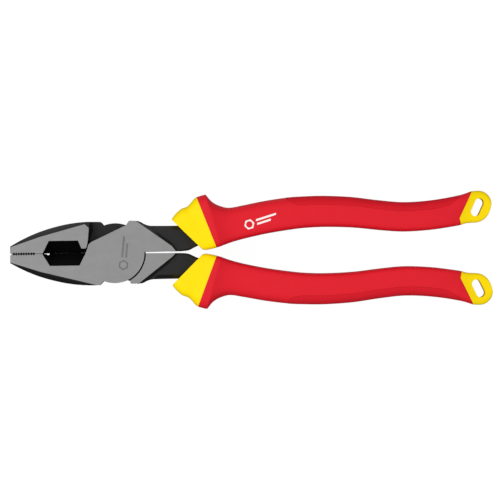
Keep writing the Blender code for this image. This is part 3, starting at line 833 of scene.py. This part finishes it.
def printed_mark(name, place, height_at):
    """The sign as a thin layer on a surface, whose height in millimetres height_at gives."""
    pieces = []
    for first, second, closed in mark_bands():
        rings = []
        for one, two in zip(first, second):
            plan = [place @ Vector((*one.lerp(two, share), 0)) for share in (0.0, 0.5, 1.0)]
            top = [(p.x, p.y, height_at(p.x, p.y) + MARK_LIFT) for p in plan]
            bottom = [(p.x, p.y, height_at(p.x, p.y) - MARK_LIFT) for p in reversed(plan)]
            rings.append(top + bottom)
        pieces.append(loft(name, rings, closed))
    mark = pieces[0]
    join = bmesh.new()
    for piece in pieces:
        join.from_mesh(piece.data)
    join.to_mesh(mark.data)
    join.free()
    for piece in pieces[1:]:
        bpy.data.objects.remove(piece)
    return shade(mark, 40)


def height_on(obj):
    """A function that gives the height of an object's top surface over a point, all in millimetres."""
    tree = BVHTree.FromPolygons(
        [vertex.co for vertex in obj.data.vertices], [face.vertices[:] for face in obj.data.polygons]
    )
    return lambda x, y: tree.ray_cast(Vector((x * MM, y * MM, 1.0)), Vector((0, 0, -1)))[0].z / MM


# ---------------------------------------------------------------- materials


def new_material(name):
    material = bpy.data.materials.new(name)
    material.use_nodes = True
    return material


def node(tree, kind, links=(), **values):
    """Adds a node. Links are (input, output socket), and values are set on the node or its inputs."""
    made = tree.nodes.new("ShaderNode" + kind)
    for key, value in values.items():
        if hasattr(made, key):
            setattr(made, key, value)
        else:
            made.inputs[key.replace("_", " ")].default_value = value
    for target, source in links:
        tree.links.new(source, made.inputs[target])
    return made


def millimetres(tree, stretch=(1, 1, 1)):
    """The object's own coordinates in millimetres, stretched along its axes."""
    place = node(tree, "TexCoord").outputs["Object"]
    scale = tuple(value / MM for value in stretch)
    return node(tree, "Mapping", [("Vector", place)], Scale=scale).outputs["Vector"]


def noise(tree, size, stretch=(1, 1, 1), detail=3.0):
    """Noise with features of about the given size in millimetres, from 0 to 1."""
    place = millimetres(tree, stretch)
    return node(tree, "TexNoise", [("Vector", place)], Scale=1 / size, Detail=detail).outputs["Fac"]


def spread(tree, value, low, high):
    """The middle part of a noise value, where most of it lies, spread from low to high."""
    made = node(tree, "MapRange", [("Value", value)], From_Min=0.3, From_Max=0.7, To_Min=low, To_Max=high)
    return made.outputs["Result"]


def tinted(tree, colour, factor):
    """A colour made lighter or darker by a factor."""
    made = node(tree, "VectorMath", [("Scale", factor)], operation="SCALE")
    made.inputs[0].default_value = colour
    return made.outputs["Vector"]


def multiply(tree, one, two):
    return node(tree, "Math", [(0, one), (1, two)], operation="MULTIPLY").outputs["Value"]


def bump(tree, height, depth):
    """A bump whose height goes from 0 to depth in millimetres."""
    made = node(tree, "Bump", [("Height", height)], Strength=1.0, Distance=depth * MM)
    return made.outputs["Normal"]


def finish_shader(material, colour, roughness, normal, **values):
    """Links colour, roughness and normal to the material's shader and sets its other inputs."""
    tree = material.node_tree
    shader = tree.nodes["Principled BSDF"]
    tree.links.new(colour, shader.inputs["Base Color"])
    tree.links.new(roughness, shader.inputs["Roughness"])
    tree.links.new(normal, shader.inputs["Normal"])
    for key, value in values.items():
        shader.inputs[key.replace("_", " ")].default_value = value
    return material


def plastic(name, colour, roughness, grain, clouds, specular):
    """Moulded plastic: a fine grain from the mould, and slight clouds in colour and gloss."""
    material = new_material(name)
    tree = material.node_tree
    cloud = noise(tree, 6.0)
    speckle = noise(tree, 0.35)
    factor = multiply(tree, spread(tree, cloud, 1 - clouds, 1 + clouds), spread(tree, speckle, 0.985, 1.015))
    gloss = spread(tree, noise(tree, 2.5), roughness - 0.04, roughness + 0.04)
    normal = bump(tree, noise(tree, 0.16, detail=2.0), grain)
    return finish_shader(material, tinted(tree, colour, factor), gloss, normal, Specular_IOR_Level=specular)


def ground_steel(name, colour, across):
    """Ground steel: fine grinding lines along one axis, and faint clouds."""
    material = new_material(name)
    tree = material.node_tree
    stretch = (1, 0.02, 1) if across else (0.02, 1, 1)
    lines = noise(tree, 0.12, stretch, detail=5.0)
    cloud = noise(tree, 5.0)
    factor = multiply(tree, spread(tree, lines, 0.94, 1.06), spread(tree, cloud, 0.97, 1.03))
    gloss = spread(tree, lines, 0.36, 0.5)
    normal = bump(tree, lines, 0.008)
    return finish_shader(material, tinted(tree, colour, factor), gloss, normal, Metallic=0.5)


def oxide(name, colour, roughness, specular):
    """Black oxide on forged steel: mottled, with the faint orange peel that the forging leaves."""
    material = new_material(name)
    tree = material.node_tree
    mottle = noise(tree, 1.1, detail=5.0)
    factor = spread(tree, mottle, 0.86, 1.14)
    gloss = spread(tree, noise(tree, 0.5), roughness - 0.06, roughness + 0.06)
    normal = bump(tree, noise(tree, 0.45, detail=3.0), 0.02)
    return finish_shader(material, tinted(tree, colour, factor), gloss, normal, Specular_IOR_Level=specular)


# ---------------------------------------------------------------- assembly


TURN_OVER = Matrix.Translation((0, 0, HEAD_THICKNESS * MM)) @ Matrix.Rotation(math.pi, 4, "X")
# the third index is the pocket's painted shade: its black oxide drawn near black
GROUND, OXIDE, PAINTED_POCKET_SHADE, MACHINED = range(4)
LEVEL_TILT = 0.9  # a face whose normal's Z is more than this is level
FLAT_TILT = 0.99
FLAT_MARGIN = 0.01


def steel_finish(face):
    """The finish of a forged half's face: ground, machined between the jaws, oxide, or oxide with painted
    shade in the pocket.
    """
    x, y, z = (value / MM for value in face.center)
    tilt = abs(face.normal.z)
    near_ground = min(abs(z), abs(z - HEAD_THICKNESS)) < EDGE_BEVEL
    mating_edge = near_ground and x < RELIEF_X[0] and y > DARK_EDGE_Y and tilt < FLAT_TILT
    if near_ground and tilt > LEVEL_TILT and not mating_edge:
        return GROUND
    if x < RELIEF_X[0] and y > MACHINED_Y and not mating_edge:
        return MACHINED
    below_face = abs(z - MID) < MID - FLAT_MARGIN
    # the pocket and the lapped floor beside the knife get painted shade, the oxide drawn near black
    in_painted_shade = below_face and PAINTED_SHADE_X[0] < x < PAINTED_SHADE_X[1] and PAINTED_SHADE_Y[0] < y < PAINTED_SHADE_Y[1]
    return PAINTED_POCKET_SHADE if in_painted_shade else OXIDE


def place_piece(obj, side, node_name, materials, finish=lambda face: 0):
    """Gives a piece its materials, its side and its place in the frame."""
    indices = [finish(face) for face in obj.data.polygons]
    obj.data.materials.clear()
    for material in materials:
        obj.data.materials.append(material)
    for face, index in zip(obj.data.polygons, indices):
        face.material_index = index
    if side == "back":
        obj.data.transform(TURN_OVER)
    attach(obj, side + "_half")
    if node_name:
        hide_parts(node_name)
    return obj


def main():
    steel = [
        ground_steel("ground_steel", GROUND_GREY, across=False),
        oxide("black_oxide", OXIDE_BLACK, roughness=0.45, specular=0.3),
        # the pocket's black oxide as a darker, duller copy: painted shade
        oxide("pocket_oxide_painted_shade", PAINTED_SHADE_BLACK, roughness=0.7, specular=0.1),
        ground_steel("machined_steel", MACHINED_GREY, across=True),
    ]
    yellow = plastic("yellow_insulation", YELLOW, roughness=0.45, grain=0.01, clouds=0.012, specular=0.09)
    red = plastic("red_shell", RED, roughness=0.45, grain=0.012, clouds=0.02, specular=0.2)
    soft_red = plastic("soft_inlay", SOFT_RED, roughness=0.62, grain=0.03, clouds=0.03, specular=0.15)
    for side, shape in (("front", FRONT), ("back", BACK)):
        half = forged_half(side + "_forging", shape)
        place_piece(half, side, side + "_jaw_half", steel, steel_finish)
        cover = shell(side + "_grip")
        if side == "front":
            print_mark = printed_mark("grip_print", flat_place(PRINT_PLACE, PRINT_TILT), height_on(cover))
            white = plastic("white_print", PRINT_WHITE, roughness=0.5, grain=0.004, clouds=0.02, specular=0.2)
            place_piece(print_mark, side, None, [white])
        place_piece(cover, side, side + "_grip_shell", [red])
        place_piece(liner(side + "_insulation"), side, side + "_grip_liner", [yellow])
        place_piece(inlay(side + "_soft_band"), side, side + "_palm_inlay", [soft_red])
    rivet = shade(turned("joint_rivet", rivet_profile(0.0, 0.0), RIVET_STEPS), 30)
    place_piece(rivet, "front", "pivot_rivet", steel[:1])
    etch = printed_mark("joint_etching", flat_place(ETCH_PLACE, ETCH_TILT), lambda x, y: HEAD_THICKNESS)
    dark = plastic("etched_steel", ETCHED_GREY, roughness=0.6, grain=0.004, clouds=0.1, specular=0.2)
    place_piece(etch, "front", None, [dark])


# ---------------------------------------------------------------- stage


def look_at(obj, target):
    obj.rotation_euler = (Vector(target) - obj.location).to_track_quat("-Z", "Y").to_euler()


def sky_level(tree, direction, lean, middle):
    """How bright the sky is in each direction: more where it leans, never below the lowest."""
    along_lean = node(tree, "VectorMath", [(0, direction)], operation="DOT_PRODUCT")
    along_lean.inputs[1].default_value = lean
    value = node(tree, "Math", [(0, along_lean.outputs["Value"])], operation="ADD")
    value.inputs[1].default_value = middle
    lit = node(tree, "Math", [(0, value.outputs["Value"])], operation="MAXIMUM")
    lit.inputs[1].default_value = SKY_LOWEST
    return lit.outputs["Value"]


def light_sky():
    """A soft studio sky: it lights dull surfaces from the front, and mirrors brighter on the upper side."""
    world = bpy.data.worlds.new("studio")
    bpy.context.scene.world = world
    world.use_nodes = True
    tree = world.node_tree
    direction = node(tree, "TexCoord").outputs["Generated"]
    even = sky_level(tree, direction, SKY_LEAN, SKY_MIDDLE)
    mirrored = sky_level(tree, direction, MIRROR_LEAN, MIRROR_MIDDLE)
    rays = node(tree, "LightPath").outputs
    lit = node(tree, "Mix", [("Factor", rays["Is Glossy Ray"]), (2, even), (3, mirrored)])
    shown = node(tree, "Mix", [("Factor", rays["Is Camera Ray"]), (2, lit.outputs[0])])
    shown.inputs[3].default_value = 1.0
    tree.links.new(shown.outputs[0], tree.nodes["Background"].inputs["Strength"])
    tree.nodes["Background"].inputs["Color"].default_value = (1, 1, 1, 1)


def pale_floor(centre, height):
    mesh = bpy.data.meshes.new("floor")
    corners = [(x * FLOOR_HALF, y * FLOOR_HALF, 0) for x, y in ((-1, -1), (1, -1), (1, 1), (-1, 1))]
    mesh.from_pydata(corners, [], [(0, 1, 2, 3)])
    floor = link_mesh("floor", mesh)
    floor.location = (centre.x, centre.y, height)
    material = new_material("pale_floor")
    shader = material.node_tree.nodes["Principled BSDF"]
    shader.inputs["Base Color"].default_value = (FLOOR_SHADOW, FLOOR_SHADOW, FLOOR_SHADOW, 1)
    shader.inputs["Roughness"].default_value = 1.0
    shader.inputs["Specular IOR Level"].default_value = 0.0
    shader.inputs["Emission Color"].default_value = (1, 1, 1, 1)
    shader.inputs["Emission Strength"].default_value = FLOOR_GLOW
    mesh.materials.append(material)
    floor.visible_diffuse = False
    floor.visible_glossy = False


def soft_light(name, place, size, energy, target):
    light = bpy.data.lights.new(name, "AREA")
    light.shape = "RECTANGLE"
    light.size, light.size_y = size
    light.energy = energy
    lamp = bpy.data.objects.new(name, light)
    bpy.context.scene.collection.objects.link(lamp)
    lamp.location = Vector(target) + Vector(place)
    look_at(lamp, target)


def front_camera(centre):
    """A far camera straight in front, so that the object is seen almost without perspective."""
    camera = bpy.data.cameras.new("camera")
    camera.sensor_width = SENSOR_WIDTH
    camera.lens = SENSOR_WIDTH * CAMERA_DISTANCE / PICTURE_WIDTH
    camera.clip_end = CAMERA_FAR
    seen = bpy.data.objects.new("camera", camera)
    bpy.context.scene.collection.objects.link(seen)
    right, up = CAMERA_SHIFT
    seen.location = (centre.x + right, centre.y + up, HEAD_THICKNESS * MM + CAMERA_DISTANCE)
    seen.rotation_euler = (0, 0, math.radians(CAMERA_ROLL))
    bpy.context.scene.camera = seen


def stage():
    low, high = cad_box
    centre = (Vector(low) + Vector(high)) / 2
    pale_floor(centre, low[2] - FLOOR_DROP)
    light_sky()
    soft_light("softbox", SOFTBOX_PLACE, SOFTBOX_SIZE, SOFTBOX_ENERGY, centre)
    front_camera(centre)
    bpy.context.scene.view_settings.view_transform = "Standard"


main()
stage()
